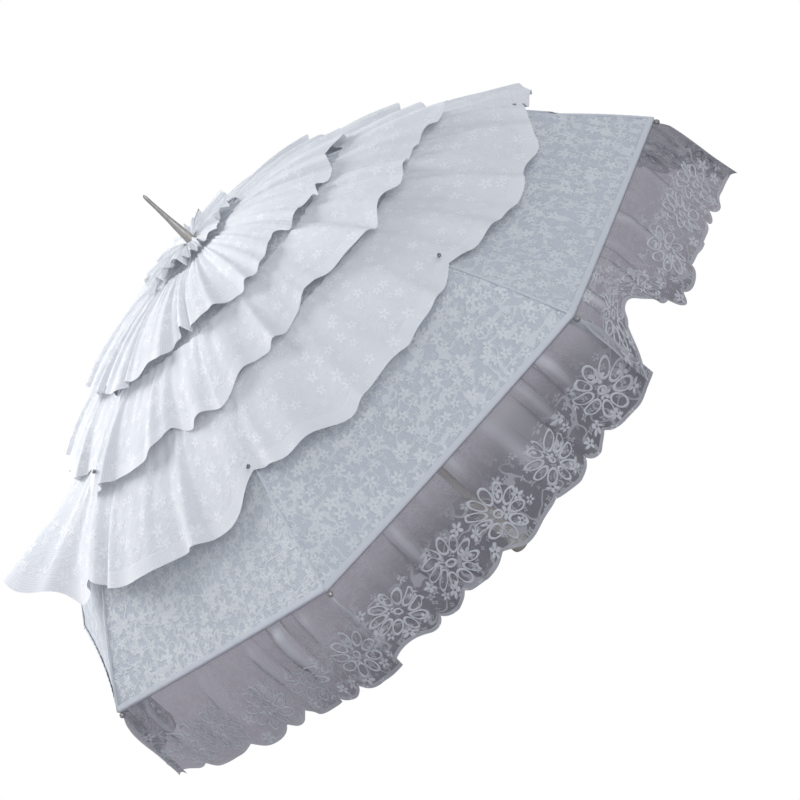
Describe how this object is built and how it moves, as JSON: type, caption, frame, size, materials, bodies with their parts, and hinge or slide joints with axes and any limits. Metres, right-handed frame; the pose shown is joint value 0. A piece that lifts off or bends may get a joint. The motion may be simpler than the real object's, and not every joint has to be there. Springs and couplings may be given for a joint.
{
  "type": "lace parasol",
  "caption": "Open lace parasol with a domed canopy, gathered ruffles, a deep scalloped frill, sprung ribs and a sliding runner on a straight shaft.",
  "frame": {"origin": "centre of the flat end of the handle", "axes": "+Z along the shaft from the handle to the ferrule; +X from the shaft towards rib 1; the part is held up by its handle end"},
  "size_m": [0.8452, 0.8452, 0.554],
  "materials": {
    "lace_cloth": "dense white floral lace, matt",
    "sheer_lace": "sheer white net with embroidered flowers",
    "painted_wood": "ivory lacquer, satin",
    "pewter": "grey-beige lacquered metal",
    "resin": "moulded white, glossy",
    "spring_steel": "drawn spring steel"
  },
  "bodies": {
    "shaft": {"shaft_tube": "painted_wood", "handle": "painted_wood", "handle_collar": "pewter", "top_notch": "pewter", "ferrule": "pewter", "crown_rosette": "sheer_lace", "ruffle_upper": "sheer_lace", "ruffle_middle": "sheer_lace", "ruffle_lower": "sheer_lace"},
    "runner": {"runner": "resin"},
    "top_catch": {"top_catch": "spring_steel"},
    "bottom_catch": {"bottom_catch": "spring_steel"},
    "rib_1": {"rib_1": "spring_steel"},
    "rib_tip_1": {"rib_tip_1": "pewter"},
    "stretcher_1": {"stretcher_1": "spring_steel"},
    "gore_upper_1": {"gore_upper_1": "lace_cloth"},
    "gore_lower_1": {"gore_lower_1": "lace_cloth"},
    "frill_1": {"frill_1": "sheer_lace"},
    "rib_2": {"rib_2": "spring_steel"},
    "rib_tip_2": {"rib_tip_2": "pewter"},
    "stretcher_2": {"stretcher_2": "spring_steel"},
    "gore_upper_2": {"gore_upper_2": "lace_cloth"},
    "gore_lower_2": {"gore_lower_2": "lace_cloth"},
    "frill_2": {"frill_2": "sheer_lace"},
    "rib_3": {"rib_3": "spring_steel"},
    "rib_tip_3": {"rib_tip_3": "pewter"},
    "stretcher_3": {"stretcher_3": "spring_steel"},
    "gore_upper_3": {"gore_upper_3": "lace_cloth"},
    "gore_lower_3": {"gore_lower_3": "lace_cloth"},
    "frill_3": {"frill_3": "sheer_lace"},
    "rib_4": {"rib_4": "spring_steel"},
    "rib_tip_4": {"rib_tip_4": "pewter"},
    "stretcher_4": {"stretcher_4": "spring_steel"},
    "gore_upper_4": {"gore_upper_4": "lace_cloth"},
    "gore_lower_4": {"gore_lower_4": "lace_cloth"},
    "frill_4": {"frill_4": "sheer_lace"},
    "rib_5": {"rib_5": "spring_steel"},
    "rib_tip_5": {"rib_tip_5": "pewter"},
    "stretcher_5": {"stretcher_5": "spring_steel"},
    "gore_upper_5": {"gore_upper_5": "lace_cloth"},
    "gore_lower_5": {"gore_lower_5": "lace_cloth"},
    "frill_5": {"frill_5": "sheer_lace"},
    "rib_6": {"rib_6": "spring_steel"},
    "rib_tip_6": {"rib_tip_6": "pewter"},
    "stretcher_6": {"stretcher_6": "spring_steel"},
    "gore_upper_6": {"gore_upper_6": "lace_cloth"},
    "gore_lower_6": {"gore_lower_6": "lace_cloth"},
    "frill_6": {"frill_6": "sheer_lace"},
    "rib_7": {"rib_7": "spring_steel"},
    "rib_tip_7": {"rib_tip_7": "pewter"},
    "stretcher_7": {"stretcher_7": "spring_steel"},
    "gore_upper_7": {"gore_upper_7": "lace_cloth"},
    "gore_lower_7": {"gore_lower_7": "lace_cloth"},
    "frill_7": {"frill_7": "sheer_lace"},
    "rib_8": {"rib_8": "spring_steel"},
    "rib_tip_8": {"rib_tip_8": "pewter"},
    "stretcher_8": {"stretcher_8": "spring_steel"},
    "gore_upper_8": {"gore_upper_8": "lace_cloth"},
    "gore_lower_8": {"gore_lower_8": "lace_cloth"},
    "frill_8": {"frill_8": "sheer_lace"}
  },
  "joints": [
    {"name": "runner_slide", "type": "slide", "parent": "shaft", "child": "runner", "axis": [0, 0, 1], "range_m": [-0.243, 0], "deforming": ["crown_rosette", "ruffle_upper", "ruffle_middle", "ruffle_lower", "top_catch", "bottom_catch", "rib_1", "gore_upper_1", "gore_lower_1", "frill_1", "rib_2", "gore_upper_2", "gore_lower_2", "frill_2", "rib_3", "gore_upper_3", "gore_lower_3", "frill_3", "rib_4", "gore_upper_4", "gore_lower_4", "frill_4", "rib_5", "gore_upper_5", "gore_lower_5", "frill_5", "rib_6", "gore_upper_6", "gore_lower_6", "frill_6", "rib_7", "gore_upper_7", "gore_lower_7", "frill_7", "rib_8", "gore_upper_8", "gore_lower_8", "frill_8"]},
    {"name": "rib_1_hinge", "type": "hinge", "parent": "shaft", "child": "rib_1", "pos_m": [0.009, 0, 0.477], "axis": [0, 1, 0], "range_deg": [0, 75.96]},
    {"name": "rib_1_bend", "type": "hinge", "parent": "rib_1", "child": "rib_tip_1", "pos_m": [0.17437, 0, 0.44337], "axis": [0, 1, 0], "range_deg": [-28.86, 0]},
    {"name": "stretcher_1_hinge", "type": "hinge", "parent": "runner", "child": "stretcher_1", "pos_m": [0.0105, 0, 0.37386], "axis": [0, 1, 0], "range_deg": [-65.11, 0]},
    {"name": "gore_1_crown_fold", "type": "hinge", "parent": "shaft", "child": "gore_upper_1", "pos_m": [0.00683, 0.00283, 0.48295], "axis": [-0.3827, 0.9239, 0], "range_deg": [0, 73.52]},
    {"name": "gore_1_middle_fold", "type": "hinge", "parent": "gore_upper_1", "child": "gore_lower_1", "pos_m": [0.15057, 0.06237, 0.44815], "axis": [-0.3827, 0.9239, 0], "range_deg": [-28.97, 0]},
    {"name": "frill_1_hem_fold", "type": "hinge", "parent": "gore_lower_1", "child": "frill_1", "pos_m": [0.35849, 0.14849, 0.258], "axis": [-0.3827, 0.9239, 0], "range_deg": [-45.05, 0]},
    {"name": "rib_2_hinge", "type": "hinge", "parent": "shaft", "child": "rib_2", "pos_m": [0.00636, 0.00636, 0.477], "axis": [-0.7071, 0.7071, 0], "range_deg": [0, 75.96]},
    {"name": "rib_2_bend", "type": "hinge", "parent": "rib_2", "child": "rib_tip_2", "pos_m": [0.1233, 0.1233, 0.44337], "axis": [-0.7071, 0.7071, 0], "range_deg": [-28.86, 0]},
    {"name": "stretcher_2_hinge", "type": "hinge", "parent": "runner", "child": "stretcher_2", "pos_m": [0.00742, 0.00742, 0.37386], "axis": [-0.7071, 0.7071, 0], "range_deg": [-65.11, 0]},
    {"name": "gore_2_crown_fold", "type": "hinge", "parent": "shaft", "child": "gore_upper_2", "pos_m": [0.00283, 0.00683, 0.48295], "axis": [-0.9239, 0.3827, 0], "range_deg": [0, 73.52]},
    {"name": "gore_2_middle_fold", "type": "hinge", "parent": "gore_upper_2", "child": "gore_lower_2", "pos_m": [0.06237, 0.15057, 0.44815], "axis": [-0.9239, 0.3827, 0], "range_deg": [-28.97, 0]},
    {"name": "frill_2_hem_fold", "type": "hinge", "parent": "gore_lower_2", "child": "frill_2", "pos_m": [0.14849, 0.35849, 0.258], "axis": [-0.9239, 0.3827, 0], "range_deg": [-45.05, 0]},
    {"name": "rib_3_hinge", "type": "hinge", "parent": "shaft", "child": "rib_3", "pos_m": [0, 0.009, 0.477], "axis": [-1, 0, 0], "range_deg": [0, 75.96]},
    {"name": "rib_3_bend", "type": "hinge", "parent": "rib_3", "child": "rib_tip_3", "pos_m": [0, 0.17437, 0.44337], "axis": [-1, 0, 0], "range_deg": [-28.86, 0]},
    {"name": "stretcher_3_hinge", "type": "hinge", "parent": "runner", "child": "stretcher_3", "pos_m": [0, 0.0105, 0.37386], "axis": [-1, 0, 0], "range_deg": [-65.11, 0]},
    {"name": "gore_3_crown_fold", "type": "hinge", "parent": "shaft", "child": "gore_upper_3", "pos_m": [-0.00283, 0.00683, 0.48295], "axis": [-0.9239, -0.3827, 0], "range_deg": [0, 73.52]},
    {"name": "gore_3_middle_fold", "type": "hinge", "parent": "gore_upper_3", "child": "gore_lower_3", "pos_m": [-0.06237, 0.15057, 0.44815], "axis": [-0.9239, -0.3827, 0], "range_deg": [-28.97, 0]},
    {"name": "frill_3_hem_fold", "type": "hinge", "parent": "gore_lower_3", "child": "frill_3", "pos_m": [-0.14849, 0.35849, 0.258], "axis": [-0.9239, -0.3827, 0], "range_deg": [-45.05, 0]},
    {"name": "rib_4_hinge", "type": "hinge", "parent": "shaft", "child": "rib_4", "pos_m": [-0.00636, 0.00636, 0.477], "axis": [-0.7071, -0.7071, 0], "range_deg": [0, 75.96]},
    {"name": "rib_4_bend", "type": "hinge", "parent": "rib_4", "child": "rib_tip_4", "pos_m": [-0.1233, 0.1233, 0.44337], "axis": [-0.7071, -0.7071, 0], "range_deg": [-28.86, 0]},
    {"name": "stretcher_4_hinge", "type": "hinge", "parent": "runner", "child": "stretcher_4", "pos_m": [-0.00742, 0.00742, 0.37386], "axis": [-0.7071, -0.7071, 0], "range_deg": [-65.11, 0]},
    {"name": "gore_4_crown_fold", "type": "hinge", "parent": "shaft", "child": "gore_upper_4", "pos_m": [-0.00683, 0.00283, 0.48295], "axis": [-0.3827, -0.9239, 0], "range_deg": [0, 73.52]},
    {"name": "gore_4_middle_fold", "type": "hinge", "parent": "gore_upper_4", "child": "gore_lower_4", "pos_m": [-0.15057, 0.06237, 0.44815], "axis": [-0.3827, -0.9239, 0], "range_deg": [-28.97, 0]},
    {"name": "frill_4_hem_fold", "type": "hinge", "parent": "gore_lower_4", "child": "frill_4", "pos_m": [-0.35849, 0.14849, 0.258], "axis": [-0.3827, -0.9239, 0], "range_deg": [-45.05, 0]},
    {"name": "rib_5_hinge", "type": "hinge", "parent": "shaft", "child": "rib_5", "pos_m": [-0.009, 0, 0.477], "axis": [0, -1, 0], "range_deg": [0, 75.96]},
    {"name": "rib_5_bend", "type": "hinge", "parent": "rib_5", "child": "rib_tip_5", "pos_m": [-0.17437, 0, 0.44337], "axis": [0, -1, 0], "range_deg": [-28.86, 0]},
    {"name": "stretcher_5_hinge", "type": "hinge", "parent": "runner", "child": "stretcher_5", "pos_m": [-0.0105, 0, 0.37386], "axis": [0, -1, 0], "range_deg": [-65.11, 0]},
    {"name": "gore_5_crown_fold", "type": "hinge", "parent": "shaft", "child": "gore_upper_5", "pos_m": [-0.00683, -0.00283, 0.48295], "axis": [0.3827, -0.9239, 0], "range_deg": [0, 73.52]},
    {"name": "gore_5_middle_fold", "type": "hinge", "parent": "gore_upper_5", "child": "gore_lower_5", "pos_m": [-0.15057, -0.06237, 0.44815], "axis": [0.3827, -0.9239, 0], "range_deg": [-28.97, 0]},
    {"name": "frill_5_hem_fold", "type": "hinge", "parent": "gore_lower_5", "child": "frill_5", "pos_m": [-0.35849, -0.14849, 0.258], "axis": [0.3827, -0.9239, 0], "range_deg": [-45.05, 0]},
    {"name": "rib_6_hinge", "type": "hinge", "parent": "shaft", "child": "rib_6", "pos_m": [-0.00636, -0.00636, 0.477], "axis": [0.7071, -0.7071, 0], "range_deg": [0, 75.96]},
    {"name": "rib_6_bend", "type": "hinge", "parent": "rib_6", "child": "rib_tip_6", "pos_m": [-0.1233, -0.1233, 0.44337], "axis": [0.7071, -0.7071, 0], "range_deg": [-28.86, 0]},
    {"name": "stretcher_6_hinge", "type": "hinge", "parent": "runner", "child": "stretcher_6", "pos_m": [-0.00742, -0.00742, 0.37386], "axis": [0.7071, -0.7071, 0], "range_deg": [-65.11, 0]},
    {"name": "gore_6_crown_fold", "type": "hinge", "parent": "shaft", "child": "gore_upper_6", "pos_m": [-0.00283, -0.00683, 0.48295], "axis": [0.9239, -0.3827, 0], "range_deg": [0, 73.52]},
    {"name": "gore_6_middle_fold", "type": "hinge", "parent": "gore_upper_6", "child": "gore_lower_6", "pos_m": [-0.06237, -0.15057, 0.44815], "axis": [0.9239, -0.3827, 0], "range_deg": [-28.97, 0]},
    {"name": "frill_6_hem_fold", "type": "hinge", "parent": "gore_lower_6", "child": "frill_6", "pos_m": [-0.14849, -0.35849, 0.258], "axis": [0.9239, -0.3827, 0], "range_deg": [-45.05, 0]},
    {"name": "rib_7_hinge", "type": "hinge", "parent": "shaft", "child": "rib_7", "pos_m": [0, -0.009, 0.477], "axis": [1, 0, 0], "range_deg": [0, 75.96]},
    {"name": "rib_7_bend", "type": "hinge", "parent": "rib_7", "child": "rib_tip_7", "pos_m": [0, -0.17437, 0.44337], "axis": [1, 0, 0], "range_deg": [-28.86, 0]},
    {"name": "stretcher_7_hinge", "type": "hinge", "parent": "runner", "child": "stretcher_7", "pos_m": [0, -0.0105, 0.37386], "axis": [1, 0, 0], "range_deg": [-65.11, 0]},
    {"name": "gore_7_crown_fold", "type": "hinge", "parent": "shaft", "child": "gore_upper_7", "pos_m": [0.00283, -0.00683, 0.48295], "axis": [0.9239, 0.3827, 0], "range_deg": [0, 73.52]},
    {"name": "gore_7_middle_fold", "type": "hinge", "parent": "gore_upper_7", "child": "gore_lower_7", "pos_m": [0.06237, -0.15057, 0.44815], "axis": [0.9239, 0.3827, 0], "range_deg": [-28.97, 0]},
    {"name": "frill_7_hem_fold", "type": "hinge", "parent": "gore_lower_7", "child": "frill_7", "pos_m": [0.14849, -0.35849, 0.258], "axis": [0.9239, 0.3827, 0], "range_deg": [-45.05, 0]},
    {"name": "rib_8_hinge", "type": "hinge", "parent": "shaft", "child": "rib_8", "pos_m": [0.00636, -0.00636, 0.477], "axis": [0.7071, 0.7071, 0], "range_deg": [0, 75.96]},
    {"name": "rib_8_bend", "type": "hinge", "parent": "rib_8", "child": "rib_tip_8", "pos_m": [0.1233, -0.1233, 0.44337], "axis": [0.7071, 0.7071, 0], "range_deg": [-28.86, 0]},
    {"name": "stretcher_8_hinge", "type": "hinge", "parent": "runner", "child": "stretcher_8", "pos_m": [0.00742, -0.00742, 0.37386], "axis": [0.7071, 0.7071, 0], "range_deg": [-65.11, 0]},
    {"name": "gore_8_crown_fold", "type": "hinge", "parent": "shaft", "child": "gore_upper_8", "pos_m": [0.00683, -0.00283, 0.48295], "axis": [0.3827, 0.9239, 0], "range_deg": [0, 73.52]},
    {"name": "gore_8_middle_fold", "type": "hinge", "parent": "gore_upper_8", "child": "gore_lower_8", "pos_m": [0.15057, -0.06237, 0.44815], "axis": [0.3827, 0.9239, 0], "range_deg": [-28.97, 0]},
    {"name": "frill_8_hem_fold", "type": "hinge", "parent": "gore_lower_8", "child": "frill_8", "pos_m": [0.35849, -0.14849, 0.258], "axis": [0.3827, 0.9239, 0], "range_deg": [-45.05, 0]},
    {"name": "top_catch_press", "type": "hinge", "parent": "shaft", "child": "top_catch", "pos_m": [0.00194, 0.0008, 0.30406], "axis": [-0.3827, 0.9239, 0], "range_deg": [-8, 0], "stiffness_Nm_per_rad": 0.4},
    {"name": "bottom_catch_press", "type": "hinge", "parent": "shaft", "child": "bottom_catch", "pos_m": [0.00194, 0.0008, 0.16266], "axis": [-0.3827, 0.9239, 0], "range_deg": [0, 8], "stiffness_Nm_per_rad": 0.4}
  ],
  "couplings": [
    {"joint": "rib_1_hinge", "follows": "runner_slide", "rad_per_m": -5.4197},
    {"joint": "rib_1_bend", "follows": "runner_slide", "rad_per_m": 2.0369},
    {"joint": "stretcher_1_hinge", "follows": "runner_slide", "rad_per_m": 4.6405},
    {"joint": "gore_1_crown_fold", "follows": "runner_slide", "rad_per_m": -5.2442},
    {"joint": "gore_1_middle_fold", "follows": "runner_slide", "rad_per_m": 2.0447},
    {"joint": "frill_1_hem_fold", "follows": "runner_slide", "rad_per_m": 3.1995},
    {"joint": "rib_2_hinge", "follows": "runner_slide", "rad_per_m": -5.4197},
    {"joint": "rib_2_bend", "follows": "runner_slide", "rad_per_m": 2.0369},
    {"joint": "stretcher_2_hinge", "follows": "runner_slide", "rad_per_m": 4.6405},
    {"joint": "gore_2_crown_fold", "follows": "runner_slide", "rad_per_m": -5.2442},
    {"joint": "gore_2_middle_fold", "follows": "runner_slide", "rad_per_m": 2.0447},
    {"joint": "frill_2_hem_fold", "follows": "runner_slide", "rad_per_m": 3.1995},
    {"joint": "rib_3_hinge", "follows": "runner_slide", "rad_per_m": -5.4197},
    {"joint": "rib_3_bend", "follows": "runner_slide", "rad_per_m": 2.0369},
    {"joint": "stretcher_3_hinge", "follows": "runner_slide", "rad_per_m": 4.6405},
    {"joint": "gore_3_crown_fold", "follows": "runner_slide", "rad_per_m": -5.2442},
    {"joint": "gore_3_middle_fold", "follows": "runner_slide", "rad_per_m": 2.0447},
    {"joint": "frill_3_hem_fold", "follows": "runner_slide", "rad_per_m": 3.1995},
    {"joint": "rib_4_hinge", "follows": "runner_slide", "rad_per_m": -5.4197},
    {"joint": "rib_4_bend", "follows": "runner_slide", "rad_per_m": 2.0369},
    {"joint": "stretcher_4_hinge", "follows": "runner_slide", "rad_per_m": 4.6405},
    {"joint": "gore_4_crown_fold", "follows": "runner_slide", "rad_per_m": -5.2442},
    {"joint": "gore_4_middle_fold", "follows": "runner_slide", "rad_per_m": 2.0447},
    {"joint": "frill_4_hem_fold", "follows": "runner_slide", "rad_per_m": 3.1995},
    {"joint": "rib_5_hinge", "follows": "runner_slide", "rad_per_m": -5.4197},
    {"joint": "rib_5_bend", "follows": "runner_slide", "rad_per_m": 2.0369},
    {"joint": "stretcher_5_hinge", "follows": "runner_slide", "rad_per_m": 4.6405},
    {"joint": "gore_5_crown_fold", "follows": "runner_slide", "rad_per_m": -5.2442},
    {"joint": "gore_5_middle_fold", "follows": "runner_slide", "rad_per_m": 2.0447},
    {"joint": "frill_5_hem_fold", "follows": "runner_slide", "rad_per_m": 3.1995},
    {"joint": "rib_6_hinge", "follows": "runner_slide", "rad_per_m": -5.4197},
    {"joint": "rib_6_bend", "follows": "runner_slide", "rad_per_m": 2.0369},
    {"joint": "stretcher_6_hinge", "follows": "runner_slide", "rad_per_m": 4.6405},
    {"joint": "gore_6_crown_fold", "follows": "runner_slide", "rad_per_m": -5.2442},
    {"joint": "gore_6_middle_fold", "follows": "runner_slide", "rad_per_m": 2.0447},
    {"joint": "frill_6_hem_fold", "follows": "runner_slide", "rad_per_m": 3.1995},
    {"joint": "rib_7_hinge", "follows": "runner_slide", "rad_per_m": -5.4197},
    {"joint": "rib_7_bend", "follows": "runner_slide", "rad_per_m": 2.0369},
    {"joint": "stretcher_7_hinge", "follows": "runner_slide", "rad_per_m": 4.6405},
    {"joint": "gore_7_crown_fold", "follows": "runner_slide", "rad_per_m": -5.2442},
    {"joint": "gore_7_middle_fold", "follows": "runner_slide", "rad_per_m": 2.0447},
    {"joint": "frill_7_hem_fold", "follows": "runner_slide", "rad_per_m": 3.1995},
    {"joint": "rib_8_hinge", "follows": "runner_slide", "rad_per_m": -5.4197},
    {"joint": "rib_8_bend", "follows": "runner_slide", "rad_per_m": 2.0369},
    {"joint": "stretcher_8_hinge", "follows": "runner_slide", "rad_per_m": 4.6405},
    {"joint": "gore_8_crown_fold", "follows": "runner_slide", "rad_per_m": -5.2442},
    {"joint": "gore_8_middle_fold", "follows": "runner_slide", "rad_per_m": 2.0447},
    {"joint": "frill_8_hem_fold", "follows": "runner_slide", "rad_per_m": 3.1995}
  ]
}
